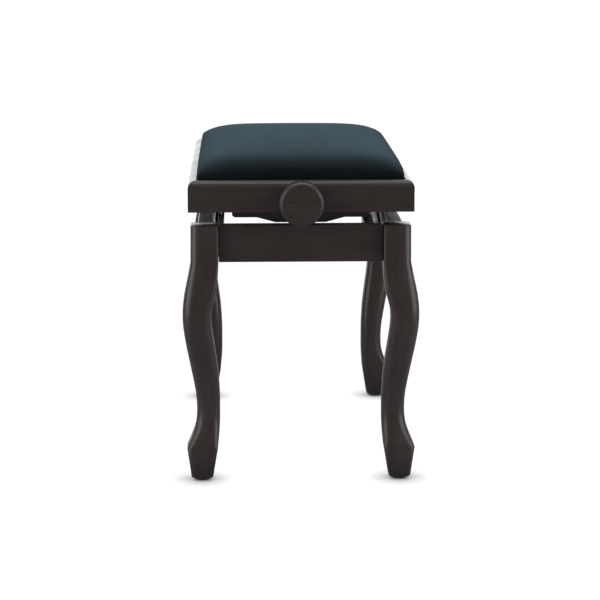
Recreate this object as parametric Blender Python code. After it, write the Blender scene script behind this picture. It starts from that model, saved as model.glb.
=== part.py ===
"""Height-adjustable piano bench: cabriole legs, a screw-driven scissor lift and a velvet seat.

Units are metres and +Z is up. +X runs along the bench to the player's right, +Y towards the
piano, and the origin lies on the floor under the bench's centre. The seat is at its lowest.
"""
import math

import bmesh
import bpy
from mathutils import Matrix
from mathutils import Vector

MM = 0.001
GAP = 0.3 * MM  # left between pieces that touch
BAR_CHAMFER = 0.8 * MM

# Wooden seat frame, at its lowest setting
SEAT_LENGTH = 555 * MM
SEAT_WIDTH = 330 * MM
SEAT_BOTTOM = 406 * MM
SEAT_TOP = 452 * MM
SEAT_RAIL_WIDTH = 33.5 * MM
SEAT_LIP_WIDTH = 12 * MM
SEAT_REBATE = 14 * MM
SEAT_ROUNDING = 11 * MM

# Upholstery
PAD_SIDE = 17 * MM  # upright sides above the frame's top
PAD_SHOULDER = (24 * MM, 11.5 * MM)  # reach and rise of the rounded shoulder
PAD_CROWN = (90 * MM, 9.8 * MM)  # reach and rise of the gentle crown
BOARD_THICKNESS = 10 * MM
COVER_THICKNESS = 1.2 * MM
PAD_CORNER = 12 * MM
PAD_STEPS = 7

# Underframe: legs and aprons
LEG_TOP = 385 * MM
LEG_BLOCK = 41 * MM
LEG_BLOCK_RADII = (11.0, 3.0)  # of its outer corner and of the others, in millimetres
LEG_TOP_ROUNDING = 1.2  # in millimetres
LEG_SETBACK_X = 4.5 * MM  # seat edge to leg face
LEG_SETBACK_Y = 3 * MM
APRON_HEIGHT = 55 * MM
APRON_THICKNESS = 20 * MM
GLIDE_HEIGHT = 3.5 * MM
GLIDE_RADIUS = 11.5 * MM

# Cabriole leg below its block: height, outward shift of the centre, width, outer corner radius
# and the other corners' radius
LEG_STATIONS = [
    (330, 0.3, 41.0, 11.0, 3.0),
    (306, 3.2, 44.5, 12.0, 5.0),
    (282, 7.5, 46.0, 14.0, 8.0),
    (258, 11.8, 42.4, 15.0, 11.0),
    (234, 11.2, 42.0, 14.5, 12.5),
    (204, 7.0, 41.6, 14.0, 13.0),
    (169, 1.4, 39.8, 14.0, 13.0),
    (134, -2.8, 36.0, 13.5, 12.5),
    (108, -3.8, 34.4, 13.5, 12.5),
    (86, -2.8, 35.8, 13.0, 12.0),
    (68, 0.9, 40.4, 11.0, 10.0),
    (51, 5.3, 45.6, 7.0, 5.5),
]
FOOT_BOTTOM = 4 * MM
FOOT_SOLE = (6.0, 31.5, 5.0, 4.0)  # shift, width and the two radii at the sole, in millimetres
FOOT_CHAMFER = 2.5 * MM

# Scissor lift: two pairs of crossed arms between flanged rails
ARM_LENGTH = 400 * MM  # between the end pivots
ARM_WIDTH = 20 * MM
ARM_THICKNESS = 4 * MM
OUTER_ARM_Y = 124.5 * MM
INNER_ARM_Y = 119 * MM
FIXED_PIVOT_X = 200 * MM
LOWER_PIVOT_Z = 345 * MM
UPPER_PIVOT_Z = 420.5 * MM
ARM_ANGLE = math.asin((UPPER_PIVOT_Z - LOWER_PIVOT_Z) / ARM_LENGTH)
MOVING_PIVOT_X = FIXED_PIVOT_X - ARM_LENGTH * math.cos(ARM_ANGLE)
SHAFT_RADIUS = 5 * MM
PIN_RADIUS = 4 * MM
PIN_HEAD_RADIUS = 7 * MM
PIN_HEAD_HEIGHT = 2.5 * MM
OPEN_PIVOT_PLAY = 1 * MM
ROLLER_RADIUS = 10.8 * MM
ROLLER_WIDTH = 6 * MM
UPPER_ROLLER_CLEARANCE = 1 * MM  # between a roller and its arm
LOWER_ROLLER_CLEARANCE = 0.8 * MM
RAIL_HALF_LENGTH = 228 * MM
RAIL_METAL = 1.7 * MM
LOWER_WEB_HEIGHT = 20 * MM
UPPER_WEB_DROP = 12 * MM  # the upper rails reach this far below their pivots
ROLLER_HEADROOM = 1.3 * MM
RAIL_FLANGE_REACH = 115 * MM  # distance of the flanges' free edges from the bench's middle

# Lifting screw, knobs and the plates that carry the screw
SPINDLE_RADIUS = 6 * MM
SPINDLE_HALF_LENGTH = 298 * MM
NUT_BORE = 7.2 * MM  # leaves the nut free to rise a little against the screw
NUT_SIZE = 28 * MM
BUSH_RADIUS = 9 * MM
BUSH_BORE = 6.3 * MM
KNOB_RADIUS = 32.5 * MM
KNOB_THICKNESS = 27 * MM
KNOB_ROUNDING = 6 * MM
END_PLATE_METAL = 2 * MM
END_PLATE_HALF_WIDTH = 101 * MM
END_PLATE_EDGE_Z = 393.6 * MM
END_PLATE_VEE_TOP = 65 * MM
END_PLATE_VEE_BOTTOM = 37 * MM

# Corner plates with their hanger bolts
PLATE_Z = (359 * MM, 379 * MM)
PLATE_METAL = 2 * MM
PLATE_DIAGONAL = 45 * MM  # from the leg's centre to the plate
PLATE_FLANGE = 20 * MM
BOLT_RADIUS = 4 * MM
BOLT_SPAN = (8 * MM, 60 * MM)  # along the diagonal, from the leg's centre
NUT_ACROSS_FLATS = 13 * MM
NUT_HEIGHT = 7 * MM

SIDES_X = {"right": 1, "left": -1}
SIDES_Y = {"front": 1, "back": -1}
ALONG_X = Matrix.Rotation(math.radians(90), 4, "Y")
ALONG_Y = Matrix.Rotation(math.radians(-90), 4, "X")

LEG_X = SEAT_LENGTH / 2 - LEG_SETBACK_X - LEG_BLOCK / 2
LEG_Y = SEAT_WIDTH / 2 - LEG_SETBACK_Y - LEG_BLOCK / 2
APRON_BOTTOM = LEG_TOP - APRON_HEIGHT
APRON_INNER_Y = LEG_Y - APRON_THICKNESS / 2
SHELF_Z = SEAT_TOP - SEAT_REBATE
SEAT_INNER_X = SEAT_LENGTH / 2 - SEAT_RAIL_WIDTH
PAD_HALF_X = SEAT_LENGTH / 2 - SEAT_LIP_WIDTH - GAP
PAD_HALF_Y = SEAT_WIDTH / 2 - SEAT_LIP_WIDTH - GAP
RAIL_WEB_Y = APRON_INNER_Y - GAP  # outer face of the metal rails' webs

WOOD = ("dark_brown_wood", (0.030, 0.021, 0.019), 0.42, 0.0)
VELVET = ("velvet", (0.010, 0.022, 0.031), 0.9, 0.0)
FOAM = ("foam", (0.70, 0.66, 0.50), 0.9, 0.0)
PLYWOOD = ("plywood", (0.50, 0.36, 0.22), 0.6, 0.0)
BLACK_STEEL = ("black_steel", (0.012, 0.012, 0.013), 0.4, 0.5)
BRIGHT_STEEL = ("bright_steel", (0.52, 0.53, 0.54), 0.3, 1.0)
PLASTIC = ("black_plastic", (0.015, 0.015, 0.016), 0.5, 0.0)


# ---- scene helpers ----

def clear_scene():
    for old in list(bpy.data.objects):
        bpy.data.objects.remove(old, do_unlink=True)


def make_material(name, look):
    _, colour, roughness, metallic = look
    material = bpy.data.materials.new(f"{name}_{look[0]}")
    material.use_nodes = True
    shader = material.node_tree.nodes["Principled BSDF"]
    shader.inputs["Base Color"].default_value = (*colour, 1.0)
    shader.inputs["Roughness"].default_value = roughness
    shader.inputs["Metallic"].default_value = metallic
    return material


def make_empty(name, location, parent=None):
    empty = bpy.data.objects.new(name, None)
    empty.empty_display_size = 0.03
    bpy.context.scene.collection.objects.link(empty)
    empty.parent = parent
    here = Vector(location)
    empty.location = here - (parent.matrix_world.translation if parent else Vector())
    bpy.context.view_layer.update()
    return empty


def make_object(name, shape, look, parent, smooth=None):
    """Turn a bmesh in world coordinates into a named object hung on its parent empty."""
    bmesh.ops.recalc_face_normals(shape, faces=shape.faces)
    origin = parent.matrix_world.translation
    bmesh.ops.translate(shape, verts=shape.verts, vec=-origin)
    mesh = bpy.data.meshes.new(name)
    shape.to_mesh(mesh)
    shape.free()
    if smooth is not None:
        mesh.shade_smooth()
        mesh.set_sharp_from_angle(angle=math.radians(smooth))
    obj = bpy.data.objects.new(name, mesh)
    bpy.context.scene.collection.objects.link(obj)
    obj.parent = parent
    obj.data.materials.append(make_material(name, look))
    return obj


def cut(target, shape):
    """Take a shape out of a target with an exact Boolean, and keep the cutter as a guide."""
    bmesh.ops.recalc_face_normals(shape, faces=shape.faces)
    mesh = bpy.data.meshes.new(f"{target.name}_cutter")
    shape.to_mesh(mesh)
    shape.free()
    cutter = bpy.data.objects.new(mesh.name, mesh)
    bpy.context.scene.collection.objects.link(cutter)
    cutter.hide_render = True
    cutter.display_type = "WIRE"
    modifier = target.modifiers.new("cut", "BOOLEAN")
    modifier.object = cutter
    modifier.solver = "EXACT"


def soften(obj, width, segments=2):
    bevel = obj.modifiers.new("edges", "BEVEL")
    bevel.width = width
    bevel.segments = segments
    bevel.limit_method = "ANGLE"


# ---- shape helpers, all giving a bmesh in world coordinates ----

def box(low, high):
    shape = bmesh.new()
    bmesh.ops.create_cube(shape, size=1.0)
    size = Vector(high) - Vector(low)
    bmesh.ops.scale(shape, vec=size, verts=shape.verts)
    bmesh.ops.translate(shape, vec=Vector(low) + size / 2, verts=shape.verts)
    return shape


def mirrored_box(x, y, z, side_x=1, side_y=1):
    """A box from (low, high) pairs, each reflected by its side's sign."""
    xs = sorted(side_x * value for value in x)
    ys = sorted(side_y * value for value in y)
    return box((xs[0], ys[0], z[0]), (xs[1], ys[1], z[1]))


def arc(centre, radius, start, end, steps):
    """Points on a circle's arc, with its angles in degrees."""
    points = []
    for step in range(steps + 1):
        angle = math.radians(start + (end - start) * step / steps)
        points.append((centre[0] + radius * math.cos(angle), centre[1] + radius * math.sin(angle)))
    return points


def rounded_rectangle(half_x, half_y, radii, steps):
    """Outline of a rectangle with its own radius at each corner, from (+x, +y) round."""
    points = []
    signs = [(1, 1), (-1, 1), (-1, -1), (1, -1)]
    for quarter, ((sign_x, sign_y), radius) in enumerate(zip(signs, radii)):
        centre = (sign_x * (half_x - radius), sign_y * (half_y - radius))
        points += arc(centre, radius, 90 * quarter, 90 * quarter + 90, steps)
    return points


def prism(outline, low, high, place=Matrix.Identity(4)):
    """A flat outline, extruded along its own z and then placed."""
    return loft([[(x, y, low) for x, y in outline], [(x, y, high) for x, y in outline]], place)


def loft(rings, place=Matrix.Identity(4)):
    """A closed skin through rings of equal length, capped at both ends."""
    shape = bmesh.new()
    rows = [[shape.verts.new(place @ Vector(point)) for point in ring] for ring in rings]
    count = len(rows[0])
    for lower, upper in zip(rows, rows[1:]):
        for i in range(count):
            j = (i + 1) % count
            shape.faces.new((lower[i], lower[j], upper[j], upper[i]))
    shape.faces.new(rows[0])
    shape.faces.new(rows[-1])
    return shape


def turned(profile, place, steps=24, ring=False):
    """A profile of (radius, height) points spun about its own z; a ring's profile is closed."""
    shape = bmesh.new()
    verts = [shape.verts.new((radius, 0, height)) for radius, height in profile]
    pairs = list(zip(verts, verts[1:]))
    if ring:
        pairs.append((verts[-1], verts[0]))
    edges = [shape.edges.new(pair) for pair in pairs]
    bmesh.ops.spin(
        shape, geom=verts + edges, cent=(0, 0, 0), axis=(0, 0, 1),
        angle=math.tau, steps=steps, use_merge=True,
    )
    bmesh.ops.remove_doubles(shape, verts=shape.verts, dist=0.001 * MM)
    bmesh.ops.transform(shape, matrix=place, verts=shape.verts)
    return shape


def rod(radius, start, end, steps=24, chamfer=0.0):
    """A round bar between two points, with chamfered ends."""
    axis = Vector(end) - Vector(start)
    length = axis.length
    profile = [(0, 0), (radius - chamfer, 0), (radius, chamfer)]
    profile += [(radius, length - chamfer), (radius - chamfer, length), (0, length)]
    if chamfer == 0.0:
        profile = [(0, 0), (radius, 0), (radius, length), (0, length)]
    turn = axis.to_track_quat("Z", "Y").to_matrix().to_4x4()
    return turned(profile, Matrix.Translation(start) @ turn, steps)


def washer(outer, inner, low, high, place, steps=24):
    profile = [(inner, low), (outer, low), (outer, high), (inner, high)]
    return turned(profile, place, steps, ring=True)


# ---- underframe ----

def spline(values, t):
    """Catmull-Rom curve through evenly spaced values, at t counted in values."""
    i = min(int(t), len(values) - 2)
    f = t - i
    before = values[max(i - 1, 0)]
    after = values[min(i + 2, len(values) - 1)]
    p, q = values[i], values[i + 1]
    cubic = 3 * p - before - 3 * q + after
    square = 2 * before - 5 * p + 4 * q - after
    return 0.5 * (2 * p + (q - before) * f + square * f * f + cubic * f * f * f)


def leg_section(height, shift, width, outer_radius, radius):
    """One level of the leg at (+x, +y), from values in millimetres."""
    radii = [outer_radius * MM] + [radius * MM] * 3
    outline = rounded_rectangle(width / 2 * MM, width / 2 * MM, radii, 4)
    return [(LEG_X + shift * MM + x, LEG_Y + shift * MM + y, height * MM) for x, y in outline]


def leg_rings():
    edge = LEG_TOP_ROUNDING
    width = LEG_BLOCK / MM
    outer_radius, radius = LEG_BLOCK_RADII
    top = LEG_TOP / MM
    rings = [leg_section(top, 0.0, width - 2 * edge, outer_radius - edge, radius - edge)]
    rings.append(leg_section(top - edge, 0.0, width, outer_radius, radius))
    columns = list(zip(*LEG_STATIONS))
    steps = 2 * (len(LEG_STATIONS) - 1)
    for step in range(steps + 1):
        rings.append(leg_section(*[spline(column, step / 2) for column in columns]))
    shift, width, outer_radius, radius = FOOT_SOLE
    chamfer = FOOT_CHAMFER / MM
    sole = FOOT_BOTTOM / MM
    rings.append(leg_section(sole + chamfer, shift, width + 1.0, outer_radius, radius))
    rings.append(leg_section(sole, shift, width - 2 * chamfer, outer_radius - 1, radius - 1))
    return rings


def flipped(rings, side_x, side_y):
    return [[(side_x * x, side_y * y, z) for x, y, z in ring] for ring in rings]


def diagonal_frame(side_x, side_y, height):
    """Axes at a leg's centre: z towards the bench's middle, y up."""
    inward = Vector((-side_x, -side_y, 0)).normalized()
    up = Vector((0, 0, 1))
    across = up.cross(inward)
    turn = Matrix((across, up, inward)).transposed().to_4x4()
    return Matrix.Translation((side_x * LEG_X, side_y * LEG_Y, height)) @ turn


def build_leg(name, side_x, side_y, base):
    leg = make_object(f"leg_{name}", loft(flipped(leg_rings(), side_x, side_y)), WOOD, base, 40)
    frame = diagonal_frame(side_x, side_y, sum(PLATE_Z) / 2)
    bore = [(0, BOLT_SPAN[0] - GAP), (BOLT_RADIUS + GAP, BOLT_SPAN[0] - GAP)]
    bore += [(BOLT_RADIUS + GAP, LEG_BLOCK), (0, LEG_BLOCK)]
    cut(leg, turned(bore, frame, 12))


def build_glide(name, side_x, side_y, base):
    shift = FOOT_SOLE[0] * MM
    centre = (side_x * (LEG_X + shift), side_y * (LEG_Y + shift), 0)
    crown = 0.6 * MM
    profile = [(0, 0), (GLIDE_RADIUS - 3 * MM, 0), (GLIDE_RADIUS - 0.8 * MM, crown)]
    profile += [(GLIDE_RADIUS, 2 * crown), (GLIDE_RADIUS, GLIDE_HEIGHT), (0, GLIDE_HEIGHT)]
    glide = turned(profile, Matrix.Translation(centre), 20)
    make_object(f"glide_{name}", glide, PLASTIC, base, 30)


def build_corner_hardware(name, side_x, side_y, base):
    middle = sum(PLATE_Z) / 2
    frame = diagonal_frame(side_x, side_y, middle)
    reach = PLATE_DIAGONAL - APRON_THICKNESS / 2 * math.sqrt(2) - GAP
    half = PLATE_Z[1] - middle
    upright = frame @ Matrix.Rotation(-math.pi / 2, 4, "X")
    plate = prism(plate_outline(reach), -half, half, upright)
    plate = make_object(f"corner_plate_{name}", plate, BRIGHT_STEEL, base)
    low, high = PLATE_DIAGONAL - 2 * PLATE_METAL, PLATE_DIAGONAL + 2 * PLATE_METAL
    bore = BOLT_RADIUS + GAP
    cut(plate, turned([(0, low), (bore, low), (bore, high), (0, high)], frame, 12))
    start, end = [frame @ Vector((0, 0, along)) for along in BOLT_SPAN]
    bolt = rod(BOLT_RADIUS, start, end, 16, BAR_CHAMFER)
    make_object(f"hanger_bolt_{name}", bolt, BRIGHT_STEEL, base, 30)
    build_hex_nut(name, frame, base)


def plate_outline(reach):
    """The bent plate seen from above: across its own x, with y towards the leg."""
    near = -PLATE_DIAGONAL
    slope = PLATE_FLANGE / math.sqrt(2)
    metal = PLATE_METAL
    skew = metal * math.sqrt(2)
    bend = metal * math.tan(math.radians(22.5))
    outer = [(-reach - slope, near - slope), (-reach, near), (reach, near)]
    outer.append((reach + slope, near - slope))
    inner = [(reach + slope - skew / 2, near - slope - skew / 2), (reach - bend, near - metal)]
    inner += [(-reach + bend, near - metal), (-reach - slope + skew / 2, near - slope - skew / 2)]
    return outer + inner


def build_hex_nut(name, frame, base):
    corner = NUT_ACROSS_FLATS / math.sqrt(3)
    low = PLATE_DIAGONAL + PLATE_METAL + GAP
    hexagon = arc((0, 0), corner, 0, 300, 5)
    nut = make_object(
        f"hex_nut_{name}", prism(hexagon, low, low + NUT_HEIGHT, frame), BRIGHT_STEEL, base)
    span = (low - 2 * MM, low + NUT_HEIGHT + 2 * MM)
    bore = [(0, span[0]), (BOLT_RADIUS + GAP, span[0]), (BOLT_RADIUS + GAP, span[1]), (0, span[1])]
    cut(nut, turned(bore, frame, 16))


def build_aprons(base):
    z = (APRON_BOTTOM, LEG_TOP)
    half = APRON_THICKNESS / 2
    end_x = LEG_X - LEG_BLOCK / 2 - GAP
    end_y = LEG_Y - LEG_BLOCK / 2 - GAP
    for name, side in SIDES_Y.items():
        shape = mirrored_box((-end_x, end_x), (LEG_Y - half, LEG_Y + half), z, 1, side)
        soften(make_object(f"apron_{name}", shape, WOOD, base), 1.2 * MM)
    for name, side in SIDES_X.items():
        shape = mirrored_box((LEG_X - half, LEG_X + half), (-end_y, end_y), z, side, 1)
        soften(make_object(f"apron_{name}", shape, WOOD, base), 1.2 * MM)


def build_angle_rail(name, look, side, parent, web, flange, hole_z, hole_radius):
    """An L-shaped rail: web and flange are its (low, high) heights."""
    thin = RAIL_METAL
    if flange[0] < web[0] + thin:
        outline = [(RAIL_FLANGE_REACH, flange[0]), (RAIL_WEB_Y, flange[0]), (RAIL_WEB_Y, web[1])]
        outline += [(RAIL_WEB_Y - thin, web[1]), (RAIL_WEB_Y - thin, flange[1])]
        outline.append((RAIL_FLANGE_REACH, flange[1]))
    else:
        outline = [(RAIL_FLANGE_REACH, flange[1]), (RAIL_WEB_Y, flange[1]), (RAIL_WEB_Y, web[0])]
        outline += [(RAIL_WEB_Y - thin, web[0]), (RAIL_WEB_Y - thin, flange[0])]
        outline.append((RAIL_FLANGE_REACH, flange[0]))
    ends = (-RAIL_HALF_LENGTH, RAIL_HALF_LENGTH)
    rings = [[(x, side * y, z) for y, z in outline] for x in ends]
    rail = make_object(name, loft(rings), look, parent)
    start = (FIXED_PIVOT_X, side * (RAIL_WEB_Y - 2 * thin), hole_z)
    end = (FIXED_PIVOT_X, side * (RAIL_WEB_Y + thin), hole_z)
    cut(rail, rod(hole_radius, start, end))


def build_underframe(base):
    for name_y, side_y in SIDES_Y.items():
        for name_x, side_x in SIDES_X.items():
            name = f"{name_y}_{name_x}"
            build_leg(name, side_x, side_y, base)
            build_glide(name, side_x, side_y, base)
            build_corner_hardware(name, side_x, side_y, base)
    build_aprons(base)
    floor = LOWER_PIVOT_Z - ROLLER_RADIUS - GAP
    for name, side in SIDES_Y.items():
        flange = (floor - RAIL_METAL, floor)
        web = (floor - RAIL_METAL, floor + LOWER_WEB_HEIGHT)
        build_angle_rail(
            f"lower_rail_{name}", BRIGHT_STEEL, side, base, web, flange, LOWER_PIVOT_Z,
            SHAFT_RADIUS + GAP)


# ---- seat ----

def rail_profile():
    """Cross-section of the seat frame: distance in from the outer face, and height."""
    rounding = SEAT_ROUNDING
    small = 1.5 * MM
    points = [(0, SEAT_BOTTOM)]
    points += arc((rounding, SEAT_TOP - rounding), rounding, 180, 90, 5)
    points += [(SEAT_LIP_WIDTH, SEAT_TOP), (SEAT_LIP_WIDTH, SHELF_Z), (SEAT_RAIL_WIDTH, SHELF_Z)]
    points += [(SEAT_RAIL_WIDTH, SEAT_BOTTOM + small), (SEAT_RAIL_WIDTH - small, SEAT_BOTTOM)]
    return points


def seat_rail(along, across):
    """A mitred rail lying along its own x at the side +y, half lengths given."""
    return [
        [(sign * (along - inward - GAP / 2), across - inward, z) for inward, z in rail_profile()]
        for sign in (-1, 1)
    ]


def build_seat_frame(seat):
    half_x, half_y = SEAT_LENGTH / 2, SEAT_WIDTH / 2
    for name, side in SIDES_Y.items():
        rings = [[(x, side * y, z) for x, y, z in ring] for ring in seat_rail(half_x, half_y)]
        make_object(f"seat_rail_{name}", loft(rings), WOOD, seat, 40)
    for name, side in SIDES_X.items():
        rings = [[(side * y, x, z) for x, y, z in ring] for ring in seat_rail(half_y, half_x)]
        rail = make_object(f"seat_rail_{name}", loft(rings), WOOD, seat, 40)
        start = (side * (SEAT_INNER_X - 10 * MM), 0, UPPER_PIVOT_Z)
        end = (side * (half_x + 10 * MM), 0, UPPER_PIVOT_Z)
        cut(rail, rod(BUSH_RADIUS + GAP, start, end, 24))


def pad_height(inset):
    """Height of the pad above the frame's top, at a distance in from its upright side."""
    reach, rise = PAD_SHOULDER
    shoulder = rise * math.sqrt(1 - (1 - min(inset / reach, 1)) ** 2)
    crown_reach, crown_rise = PAD_CROWN
    crown = crown_rise * math.sin(math.pi / 2 * min(inset / crown_reach, 1))
    return PAD_SIDE + shoulder + crown


def crown_rings(shrink, low):
    """Rings of the padded block, an even distance inside the cover's outer surface."""
    half_x, half_y = PAD_HALF_X - shrink, PAD_HALF_Y - shrink
    levels = [(0, low), (0, SEAT_TOP + PAD_SIDE - shrink)]
    for step in range(1, PAD_STEPS + 1):
        inset = PAD_CROWN[0] * (step / PAD_STEPS) ** 2.5
        levels.append((inset, SEAT_TOP + pad_height(inset) - shrink))
    rings = []
    for inset, height in levels:
        outline = ring_outline(half_x - inset, half_y - inset, PAD_CORNER - shrink + inset * 0.6)
        rings.append([(x, y, height) for x, y in outline])
    return rings


def ring_outline(half_x, half_y, corner):
    return rounded_rectangle(half_x, half_y, [corner] * 4, 4)


def build_upholstery(seat):
    board_low = SHELF_Z + GAP
    board_top = board_low + BOARD_THICKNESS
    play = COVER_THICKNESS + GAP
    corner = PAD_CORNER - play
    board = prism(ring_outline(PAD_HALF_X - play, PAD_HALF_Y - play, corner), board_low, board_top)
    make_object("seat_board", board, PLYWOOD, seat)
    make_object("seat_foam", loft(crown_rings(play, board_top + GAP)), FOAM, seat, 60)
    cover = shell(crown_rings(0, board_low), crown_rings(COVER_THICKNESS, board_low))
    make_object("velvet_cover", cover, VELVET, seat, 60)


def shell(outside, inside):
    """A skin between two stacks of rings that share an open rim at their first ring."""
    shape = bmesh.new()
    count = len(outside[0])
    stacks = []
    for rings in (outside, inside):
        rows = [[shape.verts.new(point) for point in ring] for ring in rings]
        for lower, upper in zip(rows, rows[1:]):
            for i in range(count):
                j = (i + 1) % count
                shape.faces.new((lower[i], lower[j], upper[j], upper[i]))
        shape.faces.new(rows[-1])
        stacks.append(rows[0])
    for i in range(count):
        j = (i + 1) % count
        shape.faces.new((stacks[0][i], stacks[0][j], stacks[1][j], stacks[1][i]))
    return shape


def build_seat_hardware(seat):
    ceiling = UPPER_PIVOT_Z + ROLLER_RADIUS + ROLLER_HEADROOM
    for name, side in SIDES_Y.items():
        web = (UPPER_PIVOT_Z - UPPER_WEB_DROP, ceiling + RAIL_METAL)
        flange = (ceiling, ceiling + RAIL_METAL)
        build_angle_rail(
            f"upper_rail_{name}", BLACK_STEEL, side, seat, web, flange, UPPER_PIVOT_Z,
            PIN_RADIUS + GAP)
        build_pivot_pin(name, side, seat)
    for name, side in SIDES_X.items():
        build_end_plate(name, side, seat)
        build_bush(name, side, seat)


def build_pivot_pin(name, side, seat):
    """Stub pin of an inner arm: a shouldered shank with a head on the inner end."""
    arm_in = INNER_ARM_Y - ARM_THICKNESS / 2
    arm_out = INNER_ARM_Y + ARM_THICKNESS / 2
    web_in = RAIL_WEB_Y - RAIL_METAL
    head, shoulder = PIN_HEAD_RADIUS, PIN_HEAD_RADIUS + 0.5 * MM
    head_end = arm_in - 2 * GAP - PIN_HEAD_HEIGHT
    profile = [(0, head_end), (head, head_end), (head, arm_in - 2 * GAP)]
    profile += [(PIN_RADIUS, arm_in - 2 * GAP), (PIN_RADIUS, arm_out + 2 * GAP)]
    profile += [(shoulder, arm_out + 2 * GAP), (shoulder, web_in - GAP)]
    profile += [(PIN_RADIUS, web_in - GAP), (PIN_RADIUS, RAIL_WEB_Y), (0, RAIL_WEB_Y)]
    pin = turned(profile, y_axis_at(FIXED_PIVOT_X, UPPER_PIVOT_Z, side), 16)
    make_object(f"upper_pivot_pin_{name}", pin, BRIGHT_STEEL, seat, 30)


def y_axis_at(x, z, side):
    """Own z turned to point outwards along the side's y, at a given x and z."""
    turn = ALONG_Y if side > 0 else Matrix.Rotation(math.radians(90), 4, "X")
    return Matrix.Translation((x, 0, z)) @ turn


def x_axis_at(side, z=UPPER_PIVOT_Z):
    """Own z turned to point outwards along the side's x, on the spindle's axis."""
    turn = ALONG_X if side > 0 else Matrix.Rotation(math.radians(-90), 4, "Y")
    return Matrix.Translation((0, 0, z)) @ turn


def build_end_plate(name, side, seat):
    """Plate inside each seat end that carries the spindle, with a shallow vee below its bar."""
    wide, edge = END_PLATE_HALF_WIDTH, END_PLATE_EDGE_Z
    bottom = LEG_TOP + 1.2 * MM
    corner = 5 * MM
    half = [(wide, SHELF_Z - 4 * MM)]
    half += arc((wide - corner, edge + corner), corner, 0, -90, 4)
    half += [(END_PLATE_VEE_TOP, edge), (END_PLATE_VEE_BOTTOM, bottom)]
    outline = half + [(-y, z) for y, z in reversed(half)]
    outer = SEAT_INNER_X - GAP
    planes = (side * (outer - END_PLATE_METAL), side * outer)
    rings = [[(x, y, z) for y, z in outline] for x in planes]
    plate = make_object(f"end_plate_{name}", loft(rings), BLACK_STEEL, seat)
    start = (side * (outer - 10 * MM), 0, UPPER_PIVOT_Z)
    end = (side * (outer + 10 * MM), 0, UPPER_PIVOT_Z)
    cut(plate, rod(BUSH_RADIUS + GAP, start, end))


def build_bush(name, side, seat):
    """Flanged plastic bush through the seat's end, for the spindle."""
    inner_end = SEAT_INNER_X - GAP - END_PLATE_METAL - GAP
    face = SEAT_LENGTH / 2 + GAP
    flange = BUSH_RADIUS + 3 * MM
    profile = [(BUSH_BORE, inner_end), (BUSH_RADIUS, inner_end), (BUSH_RADIUS, face)]
    profile += [(flange, face), (flange, face + 1 * MM), (BUSH_BORE, face + 1 * MM)]
    bush = turned(profile, x_axis_at(side), 20, ring=True)
    make_object(f"spindle_bush_{name}", bush, PLASTIC, seat, 30)


# ---- lifting screw ----

def build_spindle(spindle):
    start = (-SPINDLE_HALF_LENGTH, 0, UPPER_PIVOT_Z)
    end = (SPINDLE_HALF_LENGTH, 0, UPPER_PIVOT_Z)
    shape = rod(SPINDLE_RADIUS, start, end, 24, 1 * MM)
    make_object("spindle", shape, BRIGHT_STEEL, spindle, 30)
    for name, side in SIDES_X.items():
        build_knob(name, side, spindle)
        low = SEAT_INNER_X - GAP - END_PLATE_METAL - GAP - 8 * MM
        collar = washer(10 * MM, SPINDLE_RADIUS + GAP, low, low + 7 * MM, x_axis_at(side), 16)
        make_object(f"thrust_collar_{name}", collar, BRIGHT_STEEL, spindle, 30)


def build_knob(name, side, spindle):
    """Round hand knob: a thick disc with rounded rims and a blind bore for the spindle."""
    back = SEAT_LENGTH / 2 + 2 * MM
    front = back + KNOB_THICKNESS
    bore = SPINDLE_RADIUS + GAP
    rim = KNOB_RADIUS - KNOB_ROUNDING
    small = 2 * MM
    profile = [(0, SPINDLE_HALF_LENGTH + GAP), (bore, SPINDLE_HALF_LENGTH + GAP), (bore, back)]
    profile += [(KNOB_RADIUS - small, back), (KNOB_RADIUS, back + small)]
    rounding = arc((rim, front - KNOB_ROUNDING), KNOB_ROUNDING, 0, 90, 5)
    profile += rounding + [(0, front)]
    shape = turned(profile, x_axis_at(side), 40)
    make_object(f"knob_{name}", shape, WOOD, spindle, 30)


# ---- scissor arms ----

def arm_outline():
    """A flat bar with round ends, along its own x between its end pivots."""
    half = ARM_LENGTH / 2
    return arc((half, 0), ARM_WIDTH / 2, -90, 90, 8) + arc((-half, 0), ARM_WIDTH / 2, 90, 270, 8)


def build_arm(name, side, y, slope, holes, parent):
    """An arm whose slope is +1 where it rises towards +x; holes are (place along, radius)."""
    centre = ((FIXED_PIVOT_X + MOVING_PIVOT_X) / 2, 0, (LOWER_PIVOT_Z + UPPER_PIVOT_Z) / 2)
    tilt = Matrix.Rotation(-slope * ARM_ANGLE, 4, "Y")
    upright = Matrix.Rotation(math.radians(90), 4, "X")
    place = Matrix.Translation(centre) @ tilt @ upright
    span = sorted(-side * (y + sign * ARM_THICKNESS / 2) for sign in (-1, 1))
    arm = make_object(name, prism(arm_outline(), *span, place), BLACK_STEEL, parent)
    for along, radius in holes:
        start = place @ Vector((along, 0, span[0] - 5 * MM))
        end = place @ Vector((along, 0, span[1] + 5 * MM))
        cut(arm, rod(radius, start, end, 16))


def build_outer_arms(arms):
    half = ARM_LENGTH / 2
    holes = [(half, SHAFT_RADIUS + GAP), (0, PIN_RADIUS + GAP), (-half, SHAFT_RADIUS + GAP)]
    for name, side in SIDES_Y.items():
        build_arm(f"outer_arm_{name}", side, OUTER_ARM_Y, -1, holes, arms)
        build_centre_pin(name, side, arms)


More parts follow.
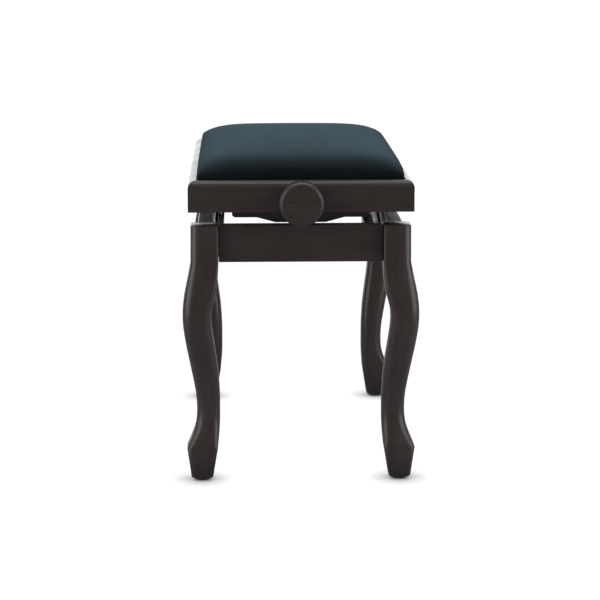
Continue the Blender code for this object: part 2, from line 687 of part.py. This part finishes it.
def build_centre_pin(name, side, arms):
    """Rivet through both arms, with a shoulder that keeps them apart."""
    inner_in = INNER_ARM_Y - ARM_THICKNESS / 2
    inner_out = INNER_ARM_Y + ARM_THICKNESS / 2
    outer_in = OUTER_ARM_Y - ARM_THICKNESS / 2
    outer_out = OUTER_ARM_Y + ARM_THICKNESS / 2
    head = PIN_HEAD_RADIUS
    head_end = inner_in - GAP - PIN_HEAD_HEIGHT
    profile = [(0, head_end), (head, head_end), (head, inner_in - GAP)]
    profile += [(PIN_RADIUS, inner_in - GAP), (PIN_RADIUS, inner_out + GAP)]
    profile += [(head, inner_out + GAP), (head, outer_in - GAP)]
    profile += [(PIN_RADIUS, outer_in - GAP), (PIN_RADIUS, outer_out + GAP)]
    profile += [(head, outer_out + GAP), (head, outer_out + 2 * MM), (0, outer_out + 2 * MM)]
    x = (FIXED_PIVOT_X + MOVING_PIVOT_X) / 2
    z = (LOWER_PIVOT_Z + UPPER_PIVOT_Z) / 2
    pin = turned(profile, y_axis_at(x, z, side), 12)
    make_object(f"centre_pin_{name}", pin, BRIGHT_STEEL, arms, 30)


def build_inner_arms(arms):
    half = ARM_LENGTH / 2
    loose = PIN_RADIUS + OPEN_PIVOT_PLAY
    holes = [(half, loose), (0, PIN_RADIUS + GAP), (-half, SHAFT_RADIUS + GAP)]
    for name, side in SIDES_Y.items():
        build_arm(f"inner_arm_{name}", side, INNER_ARM_Y, 1, holes, arms)
    reach = OUTER_ARM_Y + ARM_THICKNESS / 2 + 2 * MM
    shaft = rod(
        SHAFT_RADIUS, (MOVING_PIVOT_X, -reach, LOWER_PIVOT_Z),
        (MOVING_PIVOT_X, reach, LOWER_PIVOT_Z), 20, BAR_CHAMFER)
    make_object("roller_shaft", shaft, BRIGHT_STEEL, arms, 30)


def build_lower_pivot_shaft(base):
    reach = RAIL_WEB_Y
    shaft = rod(
        SHAFT_RADIUS, (FIXED_PIVOT_X, -reach, LOWER_PIVOT_Z),
        (FIXED_PIVOT_X, reach, LOWER_PIVOT_Z), 20, BAR_CHAMFER)
    make_object("lower_pivot_shaft", shaft, BRIGHT_STEEL, base, 30)


def build_crosshead(nut):
    """Nut block on the lifting screw, with its cross bars in one piece."""
    half = NUT_SIZE / 2
    centre = Vector((MOVING_PIVOT_X, 0, UPPER_PIVOT_Z))
    corner = Vector((half, half, half - 1.5 * MM))
    crosshead = make_object("crosshead_nut", box(centre - corner, centre + corner), BRIGHT_STEEL, nut)
    reach = OUTER_ARM_Y + ARM_THICKNESS / 2 + 2 * MM
    bar = rod(SHAFT_RADIUS, centre - Vector((0, reach, 0)), centre + Vector((0, reach, 0)), 20)
    join(crosshead, bar)
    start = centre - Vector((NUT_SIZE, 0, 0))
    cut(crosshead, rod(NUT_BORE, start, centre + Vector((NUT_SIZE, 0, 0))))


def join(target, shape):
    """Weld a shape onto a target with an exact Boolean union."""
    cut(target, shape)
    target.modifiers[-1].operation = "UNION"


def build_rollers(kind, z, low, empty):
    """A pair of rollers, each from low to low plus its width away from the middle."""
    for name, side in SIDES_Y.items():
        place = y_axis_at(MOVING_PIVOT_X, z, side)
        shape = washer(ROLLER_RADIUS, SHAFT_RADIUS + GAP, low, low + ROLLER_WIDTH, place, 24)
        make_object(f"{kind}_roller_{name}", shape, PLASTIC, empty, 30)


def build_lift(base, seat):
    arms_a = make_empty("outer_arms", (FIXED_PIVOT_X, 0, LOWER_PIVOT_Z), base)
    build_outer_arms(arms_a)
    middle_x = (FIXED_PIVOT_X + MOVING_PIVOT_X) / 2
    middle_z = (LOWER_PIVOT_Z + UPPER_PIVOT_Z) / 2
    arms_b = make_empty("inner_arms", (middle_x, 0, middle_z), arms_a)
    build_inner_arms(arms_b)
    build_lower_pivot_shaft(base)
    nut = make_empty("crosshead", (MOVING_PIVOT_X, 0, UPPER_PIVOT_Z), arms_a)
    build_crosshead(nut)
    upper = make_empty("upper_rollers", (MOVING_PIVOT_X, 0, UPPER_PIVOT_Z), nut)
    upper_start = OUTER_ARM_Y - ARM_THICKNESS / 2 - UPPER_ROLLER_CLEARANCE - ROLLER_WIDTH
    build_rollers("upper", UPPER_PIVOT_Z, upper_start, upper)
    lower = make_empty("lower_rollers", (MOVING_PIVOT_X, 0, LOWER_PIVOT_Z), arms_b)
    lower_start = INNER_ARM_Y + ARM_THICKNESS / 2 + LOWER_ROLLER_CLEARANCE
    build_rollers("lower", LOWER_PIVOT_Z, lower_start, lower)
    spindle = make_empty("lifting_screw", (0, 0, UPPER_PIVOT_Z), seat)
    build_spindle(spindle)


def main():
    clear_scene()
    base = make_empty("base", (0, 0, 0))
    seat = make_empty("seat", (0, 0, SEAT_BOTTOM))
    build_underframe(base)
    build_seat_frame(seat)
    build_upholstery(seat)
    build_seat_hardware(seat)
    build_lift(base, seat)


main()
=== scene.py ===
"""Looks of the adjustable piano bench: lacquered wood, velvet seat pad and steel scissor lift."""
import math

import bmesh
import bpy
from mathutils import Matrix
from mathutils import Vector


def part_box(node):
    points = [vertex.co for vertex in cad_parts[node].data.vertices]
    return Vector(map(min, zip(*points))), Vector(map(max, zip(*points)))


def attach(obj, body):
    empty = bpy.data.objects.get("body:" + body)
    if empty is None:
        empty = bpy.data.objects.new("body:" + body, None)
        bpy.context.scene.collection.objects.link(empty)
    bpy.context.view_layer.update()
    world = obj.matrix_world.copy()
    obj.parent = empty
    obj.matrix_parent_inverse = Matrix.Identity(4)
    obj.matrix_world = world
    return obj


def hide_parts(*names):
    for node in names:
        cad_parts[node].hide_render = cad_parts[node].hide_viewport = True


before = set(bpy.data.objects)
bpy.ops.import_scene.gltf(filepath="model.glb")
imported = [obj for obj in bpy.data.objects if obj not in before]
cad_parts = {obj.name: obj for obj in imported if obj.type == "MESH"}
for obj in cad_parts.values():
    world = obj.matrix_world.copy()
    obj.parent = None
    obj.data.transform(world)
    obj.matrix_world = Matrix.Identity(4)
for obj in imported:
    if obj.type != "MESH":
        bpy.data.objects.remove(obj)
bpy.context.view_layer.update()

MM = 0.001
SIDES_Y = {"front": 1, "back": -1}

seat_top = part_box("seat_rail_front")[1][2]

# Velvet pad
PAD_SLACK = 0.5 * MM  # between the pad and the limit of its CAD solid
PAD_SWELLING = 1 * MM  # how much lower the pad starts before it is blown up
PAD_FALL = 0.55  # share of the pad's height that is missing at an edge
PAD_REACH = 22 * MM  # how far in from an edge the pad takes to rise
CORNER_PULL = 0.15  # further share that the cloth takes off at a corner
CORNER_REACH = 35 * MM
FIRM_SHARE = 0.6  # how far up its sides the pad keeps its place
SWELL_CAP = 24 * MM
PAD_RINGS = 16
PAD_PRESSURE = 0.4
PAD_TENSION = 15
PAD_BENDING = 4.0
PAD_VOXEL = 5 * MM
SWELL_FRAMES = 20

# Lifting screw, screw heads and legs
SPINDLE_RADIUS = (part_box("spindle")[1][2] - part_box("spindle")[0][2]) / 2
THREAD_SPAN = (-0.226, -0.132)  # round the nut, with room for its travel
THREAD_PITCH = 3 * MM
THREAD_DEPTH = 1.1 * MM
THREAD_SIDES = 24
SPINDLE_CHAMFER = 1 * MM
# Radius and height up a screw head, from its rim over its dome and down into its recess
HEAD_PROFILE = [
    (3.6 * MM, 0.0), (3.4 * MM, 0.8 * MM), (2.6 * MM, 1.5 * MM), (1.2 * MM, 1.8 * MM),
    (1.1 * MM, 1.0 * MM)]
HEAD_SIDES = 20
RAIL_METAL = 1.7 * MM
SCREW_STATIONS = (-0.08, 0.08)
UPPER_SCREW_RISE = 7 * MM  # above the upper rail's lower edge
LOWER_SCREW_DROP = 9 * MM  # below the lower rail's upper edge
CARVED_EDGE = 48  # degrees between faces that a leg still shows as an edge

# Floor
FLOOR_SHADE = 0.35  # how light the floor is to what stands on it
FLOOR_GLOW = 1.05
CONTACT_REACH = 35 * MM  # how far from a foot the painted contact shadow darkens the floor


# ---- node helpers ----

class Shader:
    """A new material with short ways to add and wire its nodes."""

    def __init__(self, name, **values):
        self.material = bpy.data.materials.new(name)
        self.material.use_nodes = True
        self.tree = self.material.node_tree
        self.surface = self.tree.nodes["Principled BSDF"]
        for socket, value in values.items():
            self.surface.inputs[socket.replace("_", " ")].default_value = value

    def node(self, kind, **inputs):
        made = self.tree.nodes.new(kind)
        for key, value in inputs.items():
            socket = made.inputs[key.replace("_", " ")]
            if isinstance(value, bpy.types.NodeSocket):
                self.tree.links.new(value, socket)
            else:
                socket.default_value = value
        return made

    def link(self, out, socket):
        self.tree.links.new(out, self.surface.inputs[socket])

    def coordinates(self, scale=(1, 1, 1), source="Object"):
        place = self.node("ShaderNodeTexCoord")
        return self.node("ShaderNodeMapping", Vector=place.outputs[source], Scale=scale)

    def noise(self, where, scale, detail=4.0, roughness=0.5, distortion=0.0):
        made = self.node(
            "ShaderNodeTexNoise", Vector=where.outputs[0], Scale=scale, Detail=detail,
            Roughness=roughness, Distortion=distortion)
        return made.outputs["Fac"]

    def ramp(self, value, *stops):
        made = self.node("ShaderNodeValToRGB", Fac=value)
        ends = made.color_ramp.elements
        while len(ends) < len(stops):
            ends.new(0.5)
        for element, (position, colour) in zip(ends, stops):
            element.position = position
            element.color = (*colour, 1.0) if len(colour) == 3 else colour
        return made.outputs["Color"]

    def spread(self, value, low, high, start=0.3, stop=0.7):
        """Map a noise's middle band onto a range."""
        made = self.node(
            "ShaderNodeMapRange", Value=value, From_Min=start, From_Max=stop,
            To_Min=low, To_Max=high)
        return made.outputs["Result"]

    def bump(self, height, distance, strength=1.0, below=None):
        made = self.node("ShaderNodeBump", Height=height, Distance=distance, Strength=strength)
        if below is not None:
            self.tree.links.new(below, made.inputs["Normal"])
        return made.outputs["Normal"]


WOOD_DARK = (0.0205, 0.0130, 0.0127)
WOOD_LIGHT = (0.0305, 0.0210, 0.0205)


def wood(name, axis):
    """Dark brown wood under satin lacquer, with its grain along one axis."""
    shader = Shader(
        name, Metallic=0.0, Specular_IOR_Level=0.25, Coat_Weight=0.15, Coat_Roughness=0.2)
    stretch = [1.0, 1.0, 1.0]
    stretch["XYZ".index(axis)] = 0.06
    grain = shader.coordinates(stretch)
    figure = shader.noise(grain, 42.0, 6.0, 0.6, 0.5)
    pores = shader.noise(grain, 420.0, 3.0, 0.6)
    shade = shader.ramp(figure, (0.28, WOOD_DARK), (0.74, WOOD_LIGHT))
    mixed = shader.node("ShaderNodeMix")
    mixed.data_type = "RGBA"
    mixed.blend_type = "MULTIPLY"
    mixed.inputs["Factor"].default_value = 0.5
    shader.tree.links.new(shade, mixed.inputs["A"])
    tint = shader.ramp(pores, (0.35, (0.55, 0.52, 0.50)), (0.62, (1.0, 1.0, 1.0)))
    shader.tree.links.new(tint, mixed.inputs["B"])
    shader.link(mixed.outputs["Result"], "Base Color")
    handled = shader.noise(shader.coordinates(), 14.0, 3.0)
    shader.link(shader.spread(handled, 0.36, 0.48), "Roughness")
    shader.link(shader.bump(pores, 0.05 * MM, 0.5), "Normal")
    return shader.material


def velvet():
    """Deep blue-green pile: dark where it is looked into, pale where it is seen along."""
    shader = Shader(
        "velvet_pile", Roughness=0.85, Sheen_Weight=0.115, Sheen_Roughness=0.42,
        Sheen_Tint=(0.53, 0.83, 1.0, 1.0), Specular_IOR_Level=0.0)
    here = shader.coordinates()
    nap = shader.noise(here, 9.0, 5.0, 0.6, 0.6)
    pile = shader.noise(here, 1400.0, 2.0, 0.6)
    shade = shader.ramp(nap, (0.30, (0.0042, 0.0050, 0.0055)), (0.72, (0.0064, 0.0080, 0.0090)))
    shader.link(shade, "Base Color")
    brushed = shader.bump(nap, 1.2 * MM, 0.35)
    shader.link(shader.bump(pile, 0.25 * MM, 0.35, brushed), "Normal")
    return shader.material


def painted_steel():
    shader = Shader("black_painted_steel", Base_Color=(0.0065, 0.0064, 0.0066, 1), Metallic=0.0)
    here = shader.coordinates()
    peel = shader.noise(here, 900.0, 2.0)
    dust = shader.noise(here, 30.0, 4.0)
    shader.link(shader.spread(dust, 0.34, 0.52), "Roughness")
    shader.link(shader.bump(peel, 0.04 * MM, 0.5), "Normal")
    return shader.material


def zinc_steel():
    shader = Shader("zinc_plated_steel", Metallic=1.0)
    here = shader.coordinates()
    spangle = shader.noise(here, 160.0, 3.0, 0.6, 0.4)
    shade = shader.ramp(spangle, (0.3, (0.42, 0.43, 0.45)), (0.7, (0.60, 0.60, 0.58)))
    shader.link(shade, "Base Color")
    shader.link(shader.spread(spangle, 0.24, 0.42), "Roughness")
    return shader.material


def rolled_steel():
    """Bright galvanised strip, streaked along its length by the rolls."""
    shader = Shader("rolled_zinc_strip", Metallic=1.0)
    along = shader.coordinates((0.03, 1.0, 1.0))
    streaks = shader.noise(along, 700.0, 3.0, 0.65)
    shade = shader.ramp(streaks, (0.34, (0.28, 0.28, 0.29)), (0.62, (0.78, 0.78, 0.78)))
    shader.link(shade, "Base Color")
    shader.link(shader.spread(streaks, 0.22, 0.40), "Roughness")
    return shader.material


def moulded_plastic():
    shader = Shader("black_moulded_plastic", Base_Color=(0.013, 0.013, 0.014, 1))
    here = shader.coordinates()
    texture = shader.noise(here, 1500.0, 2.0)
    shader.link(shader.spread(shader.noise(here, 60.0), 0.42, 0.56), "Roughness")
    shader.link(shader.bump(texture, 0.05 * MM, 0.5), "Normal")
    return shader.material


def plywood():
    shader = Shader("birch_plywood", Roughness=0.6)
    grain = shader.coordinates((0.05, 1.0, 1.0))
    figure = shader.noise(grain, 60.0, 6.0, 0.6, 0.8)
    shade = shader.ramp(figure, (0.3, (0.36, 0.23, 0.12)), (0.7, (0.58, 0.43, 0.27)))
    shader.link(shade, "Base Color")
    shader.link(shader.bump(figure, 0.1 * MM, 0.4), "Normal")
    return shader.material


def foam():
    shader = Shader("seat_foam", Roughness=0.95)
    cells = shader.noise(shader.coordinates(), 500.0, 3.0)
    shade = shader.ramp(cells, (0.3, (0.50, 0.44, 0.26)), (0.7, (0.66, 0.60, 0.40)))
    shader.link(shade, "Base Color")
    shader.link(shader.bump(cells, 0.4 * MM, 0.6), "Normal")
    return shader.material


MATERIALS = {
    "wood_x": wood("dark_wood_along_x", "X"),
    "wood_y": wood("dark_wood_along_y", "Y"),
    "wood_z": wood("dark_wood_along_z", "Z"),
    "velvet": velvet(),
    "black": painted_steel(),
    "zinc": zinc_steel(),
    "rolled": rolled_steel(),
    "plastic": moulded_plastic(),
    "plywood": plywood(),
    "foam": foam(),
}

# First letters of a CAD node's name, and the material it takes
NODE_LOOKS = {
    "leg_": "wood_z",
    "apron_front": "wood_x",
    "apron_back": "wood_x",
    "apron_": "wood_y",
    "seat_rail_front": "wood_x",
    "seat_rail_back": "wood_x",
    "seat_rail_": "wood_y",
    "knob_": "wood_y",
    "velvet_cover": "velvet",
    "seat_foam": "foam",
    "seat_board": "plywood",
    "lower_rail_": "rolled",
    "upper_rail_": "black",
    "end_plate_": "black",
    "outer_arm_": "black",
    "inner_arm_": "black",
    "glide_": "plastic",
    "spindle_bush_": "plastic",
    "upper_roller_": "plastic",
    "lower_roller_": "plastic",
    "corner_plate_": "zinc",
    "hanger_bolt_": "zinc",
    "hex_nut_": "zinc",
    "lower_pivot_shaft": "zinc",
    "roller_shaft": "zinc",
    "crosshead_nut": "zinc",
    "spindle": "zinc",
    "thrust_collar_": "zinc",
    "centre_pin_": "zinc",
    "upper_pivot_pin_": "zinc",
}


def dress_nodes():
    for name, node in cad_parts.items():
        start = next(start for start in NODE_LOOKS if name.startswith(start))
        node.data.materials.clear()
        node.data.materials.append(MATERIALS[NODE_LOOKS[start]])


# ---- velvet pad ----

def evaluated_mesh(piece):
    bpy.context.view_layer.update()
    depsgraph = bpy.context.evaluated_depsgraph_get()
    return bpy.data.meshes.new_from_object(piece.evaluated_get(depsgraph))


def apply_modifiers(piece):
    piece.data = evaluated_mesh(piece)
    piece.modifiers.clear()


def swell(piece, is_held, cap):
    """Blow a closed form up as stuffed cloth. Held points stay, and no point moves further than cap."""
    start = [vertex.co.copy() for vertex in piece.data.vertices]
    held = piece.vertex_groups.new(name="held")
    held.add([index for index, point in enumerate(start) if is_held(point)], 1.0, "REPLACE")
    cloth = piece.modifiers.new("cloth", "CLOTH")
    cloth.settings.vertex_group_mass = "held"
    cloth.settings.use_pressure = True
    cloth.settings.uniform_pressure_force = PAD_PRESSURE
    cloth.settings.tension_stiffness = PAD_TENSION
    cloth.settings.compression_stiffness = PAD_TENSION
    cloth.settings.bending_stiffness = PAD_BENDING
    cloth.settings.effector_weights.gravity = 0
    cloth.point_cache.frame_end = SWELL_FRAMES
    for step in range(1, SWELL_FRAMES + 1):
        bpy.context.scene.frame_set(step)
    apply_modifiers(piece)
    bpy.context.scene.frame_set(1)
    piece.vertex_groups.clear()
    for vertex, origin in zip(piece.data.vertices, start):
        move = vertex.co - origin
        if move.length > cap:
            vertex.co = origin + move * (cap / move.length)


def edge_rise(distance):
    """Share of the pad's full height at a distance from its edge."""
    return 1 - PAD_FALL * math.exp(-max(distance, 0) / PAD_REACH)


def pad_rise(x, y, half_x, half_y):
    """Share of the pad's full height over a point, with the corners pulled down."""
    in_x, in_y = half_x - abs(x), half_y - abs(y)
    corner = 1 - CORNER_PULL * math.exp(-(max(in_x, 0) + max(in_y, 0)) / CORNER_REACH)
    return edge_rise(in_x) * edge_rise(in_y) * corner


def rounded_outline(half_x, half_y, corner, steps=6):
    """Points anticlockwise round a rectangle with round corners."""
    corner = min(corner, half_x, half_y)
    points = []
    for quarter, (side_x, side_y) in enumerate(((1, 1), (-1, 1), (-1, -1), (1, -1))):
        for step in range(steps + 1):
            angle = (quarter + step / steps) * math.pi / 2
            x = side_x * (half_x - corner) + corner * math.cos(angle)
            y = side_y * (half_y - corner) + corner * math.sin(angle)
            points.append((x, y))
    return points


def with_points_between(points, spacing):
    """The same closed outline, with extra points so that none are further apart than spacing."""
    dense = []
    for (x0, y0), (x1, y1) in zip(points, points[1:] + points[:1]):
        count = max(1, math.ceil(math.hypot(x1 - x0, y1 - y0) / spacing))
        for step in range(count):
            share = step / count
            dense.append((x0 + (x1 - x0) * share, y0 + (y1 - y0) * share))
    return dense


def pad_form(half_x, half_y, low, top):
    """Closed crowned block: full along its sides, and pulled down at its corners."""
    crown = top - seat_top
    outline = with_points_between(rounded_outline(half_x, half_y, 9 * MM), 8 * MM)
    rings = [[(x, y, low) for x, y in outline]]
    for step in range(PAD_RINGS + 1):
        inward = (step / PAD_RINGS) ** 1.8 * (half_y - 6 * MM)
        ring = []
        for x, y in outline:
            x_in = x * (half_x - inward) / half_x
            y_in = y * (half_y - inward) / half_y
            rise = crown * pad_rise(x_in, y_in, half_x, half_y)
            ring.append((x_in, y_in, seat_top + rise))
        rings.append(ring)
    return skin_rings(rings)


def skin_rings(points):
    """A closed bmesh over rows of points that go round anticlockwise, with flat ends."""
    shape = bmesh.new()
    rows = [[shape.verts.new(point) for point in ring] for ring in points]
    for lower, upper in zip(rows, rows[1:]):
        for i in range(len(lower)):
            j = (i + 1) % len(lower)
            shape.faces.new((lower[i], lower[j], upper[j], upper[i]))
    shape.faces.new(rows[-1])
    shape.faces.new(rows[0][::-1])
    return shape


def new_piece(name, shape, material, smooth_under=None):
    """An object made of a bmesh, with edges sharper than smooth_under degrees kept sharp."""
    mesh = bpy.data.meshes.new(name)
    bmesh.ops.recalc_face_normals(shape, faces=shape.faces)
    shape.to_mesh(mesh)
    shape.free()
    piece = bpy.data.objects.new(name, mesh)
    bpy.context.scene.collection.objects.link(piece)
    mesh.materials.append(MATERIALS[material])
    if smooth_under is not None:
        mesh.shade_smooth()
        mesh.set_sharp_from_angle(angle=math.radians(smooth_under))
    return piece


def build_pad():
    """The pad: firm upright sides round its foam, with the cloth over them blown up tight."""
    low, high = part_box("velvet_cover")
    half_x, half_y = high[0] - PAD_SLACK, high[1] - PAD_SLACK
    start_top = high[2] - PAD_SWELLING
    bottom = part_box("seat_board")[1][2] + 0.3 * MM
    pad = new_piece("velvet_pad", pad_form(half_x, half_y, bottom, start_top), "velvet")
    remesh = pad.modifiers.new("remesh", "REMESH")
    remesh.mode = "VOXEL"
    remesh.voxel_size = PAD_VOXEL
    apply_modifiers(pad)

    def is_held(point):
        wall = min(half_x - abs(point.x), half_y - abs(point.y)) < 2 * MM
        rise = (start_top - seat_top) * pad_rise(point.x, point.y, half_x, half_y)
        return point.z < seat_top + (FIRM_SHARE * rise if wall else 1 * MM)

    swell(pad, is_held, SWELL_CAP)
    tops = max(vertex.co.z for vertex in pad.data.vertices)
    for vertex in pad.data.vertices:
        rise = max(0.0, vertex.co.z - seat_top)
        vertex.co.z += rise * ((high[2] - seat_top) / (tops - seat_top) - 1)
    smooth = pad.modifiers.new("subdivision", "SUBSURF")
    smooth.levels = smooth.render_levels = 1
    apply_modifiers(pad)
    pad.data.shade_smooth()
    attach(pad, "seat")
    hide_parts("velvet_cover", "seat_foam")


# ---- details ----

def carve_legs():
    """Legs of the same form as the solids, shaded as carved wood with only their real edges sharp."""
    for name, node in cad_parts.items():
        if not name.startswith("leg_"):
            continue
        shape = bmesh.new()
        shape.from_mesh(node.data)
        bmesh.ops.remove_doubles(shape, verts=shape.verts, dist=0.01 * MM)
        bmesh.ops.transform(shape, matrix=node.matrix_world, verts=shape.verts)
        leg = new_piece(f"carved_{name}", shape, "wood_z", CARVED_EDGE)
        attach(leg, "base")
        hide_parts(name)


def thread_radius(x, angle):
    """Distance from the screw's middle to its surface: a right-hand thread between plain ends."""
    low, high = THREAD_SPAN
    run_out = min(x - low, high - x) / THREAD_PITCH
    if run_out <= 0:
        return SPINDLE_RADIUS
    phase = (x / THREAD_PITCH - angle / (2 * math.pi)) % 1
    groove = 1 - abs(2 * phase - 1)
    return SPINDLE_RADIUS - THREAD_DEPTH * groove * min(1, run_out)


def spindle_places(low, high):
    """Places along the screw: its chamfered ends, and four to each turn of the thread."""
    start, end = THREAD_SPAN
    count = round((end - start) / (THREAD_PITCH / 4))
    threaded = [start + (end - start) * i / count for i in range(count + 1)]
    return [low, low + SPINDLE_CHAMFER, *threaded, high - SPINDLE_CHAMFER, high]


def build_spindle():
    """The lifting screw, with its thread cut where the nut travels."""
    low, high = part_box("spindle")
    middle_z = (low[2] + high[2]) / 2
    rings = []
    for x in spindle_places(low[0], high[0]):
        taken_off = SPINDLE_CHAMFER if x in (low[0], high[0]) else 0
        ring = []
        for step in range(THREAD_SIDES):
            angle = 2 * math.pi * step / THREAD_SIDES
            radius = thread_radius(x, angle) - taken_off
            ring.append((x, radius * math.cos(angle), middle_z + radius * math.sin(angle)))
        rings.append(ring)
    screw = new_piece("lifting_screw_bar", skin_rings(rings), "zinc", 50)
    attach(screw, "lifting_screw")
    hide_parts("spindle")


def build_screw_head(name, place, direction, body):
    """A domed screw head with a drive recess, seated on a face and pointing away from it."""
    rings = []
    for radius, height in HEAD_PROFILE:
        angles = [2 * math.pi * step / HEAD_SIDES for step in range(HEAD_SIDES)]
        rings.append([(radius * math.cos(a), radius * math.sin(a), height) for a in angles])
    shape = skin_rings(rings)
    turn = Vector(direction).to_track_quat("Z", "Y").to_matrix().to_4x4()
    bmesh.ops.transform(shape, matrix=Matrix.Translation(place) @ turn, verts=shape.verts)
    head = new_piece(name, shape, "zinc", 40)
    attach(head, body)


def build_screws():
    """Wood screws through the lift's rails, on the faces turned towards the bench's middle."""
    for body, kind in (("seat", "upper"), ("base", "lower")):
        for name, side in SIDES_Y.items():
            low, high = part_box(f"{kind}_rail_{name}")
            web = max(abs(low[1]), abs(high[1])) - RAIL_METAL
            z = high[2] - LOWER_SCREW_DROP if kind == "lower" else low[2] + UPPER_SCREW_RISE
            for number, x in enumerate(SCREW_STATIONS):
                build_screw_head(
                    f"{kind}_rail_screw_{name}_{number}", (x, side * web, z), (0, -side, 0), body)


# ---- stage ----

def build_floor():
    """Pale floor: a bright sweep to look at, with soft contact shadows painted into its glow, and plain grey
    to what it lights.
    """
    shade = (FLOOR_SHADE, FLOOR_SHADE, FLOOR_SHADE, 1)
    shader = Shader("pale_floor", Base_Color=shade, Roughness=0.9, Specular_IOR_Level=0.1)
    # Painted contact shadow: ambient occlusion darkens the floor's camera-only glow near what stands on it
    painted_contact_shadow = shader.node("ShaderNodeAmbientOcclusion", Distance=CONTACT_REACH)
    glow = shader.node("ShaderNodeEmission", Color=painted_contact_shadow.outputs["Color"], Strength=FLOOR_GLOW)
    rays = shader.node("ShaderNodeLightPath")
    seen = shader.node("ShaderNodeMixShader", Fac=rays.outputs["Is Camera Ray"])
    shader.tree.links.new(shader.surface.outputs["BSDF"], seen.inputs[1])
    shader.tree.links.new(glow.outputs["Emission"], seen.inputs[2])
    output = shader.tree.nodes["Material Output"]
    shader.tree.links.new(seen.outputs["Shader"], output.inputs["Surface"])
    bpy.ops.mesh.primitive_plane_add(size=120)
    floor = bpy.context.object
    floor.name = "floor"
    floor.data.materials.append(shader.material)


def build_world():
    """White studio behind the object, and a dimmer room for what lights and mirrors in it."""
    world = bpy.data.worlds.new("studio")
    world.use_nodes = True
    tree = world.node_tree
    background = tree.nodes["Background"]
    background.inputs["Color"].default_value = (1, 1, 1, 1)
    rays = tree.nodes.new("ShaderNodeLightPath")
    strength = tree.nodes.new("ShaderNodeMapRange")
    strength.inputs["To Min"].default_value = 0.25
    strength.inputs["To Max"].default_value = 1.0
    tree.links.new(rays.outputs["Is Camera Ray"], strength.inputs["Value"])
    tree.links.new(strength.outputs["Result"], background.inputs["Strength"])
    bpy.context.scene.world = world


def add_light(name, location, target, size, power):
    light = bpy.data.lights.new(name, "AREA")
    light.shape = "RECTANGLE"
    light.size, light.size_y = size
    light.energy = power
    lamp = bpy.data.objects.new(name, light)
    bpy.context.scene.collection.objects.link(lamp)
    lamp.location = location
    lamp.rotation_euler = (Vector(target) - Vector(location)).to_track_quat("-Z", "Y").to_euler()


def build_camera():
    camera = bpy.data.cameras.new("camera")
    camera.sensor_width = 36
    camera.lens = 118.96
    camera.clip_end = 200
    eye = bpy.data.objects.new("camera", camera)
    bpy.context.scene.collection.objects.link(eye)
    eye.location = (3.130, -0.0917, 0.838)
    eye.rotation_euler = (math.radians(90 - 11.142), 0, math.radians(90 - 1.802))
    bpy.context.scene.camera = eye


def build_stage():
    build_floor()
    build_world()
    add_light("overhead", (-0.1, 0.0, 2.3), (-0.1, 0, 0), (2.6, 2.6), 50)
    add_light("back_wall", (-3.2, 0.0, 0.9), (0, 0, 0.5), (6.0, 2.4), 120)
    add_light("left_softbox", (0.95, -1.7, 0.8), (0, 0, 0.35), (1.5, 1.8), 34)
    add_light("right_softbox", (0.95, 1.7, 0.8), (0, 0, 0.35), (1.5, 1.8), 34)
    build_camera()
    scene = bpy.context.scene
    scene.view_settings.view_transform = "Standard"
    scene.view_settings.look = "None"


dress_nodes()
build_pad()
carve_legs()
build_spindle()
build_screws()
build_stage()
